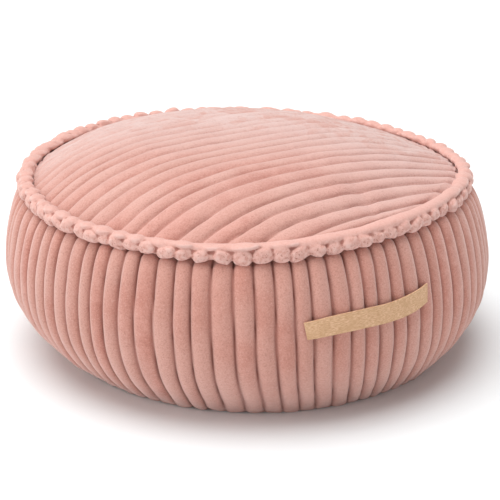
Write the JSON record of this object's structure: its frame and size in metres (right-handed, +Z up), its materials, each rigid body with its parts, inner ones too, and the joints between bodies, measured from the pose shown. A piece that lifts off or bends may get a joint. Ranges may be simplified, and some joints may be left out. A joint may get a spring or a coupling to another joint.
{
  "type": "corduroy pouf",
  "caption": "Round filled floor pouf in wide-wale corduroy, with a crowned top, a bulging side, a beaded seam welt round the rim and a flat tape handle.",
  "frame": {"origin": "on the floor under the middle of the pouf's widest circle", "axes": "+Z up, -Y towards the front, where the tape handle is seen to the right of the middle"},
  "size_m": [0.6, 0.6, 0.2591],
  "materials": {
    "corduroy": "dusty pink wide-wale plush corduroy",
    "welt_corduroy": "the same corduroy, its cut pile turned out along the seam",
    "handle_tape": "tan woven cotton tape"
  },
  "bodies": {
    "root": {"pouf_body": "corduroy", "rim_welt": "welt_corduroy", "handle_strap": "handle_tape"}
  },
  "joints": []
}
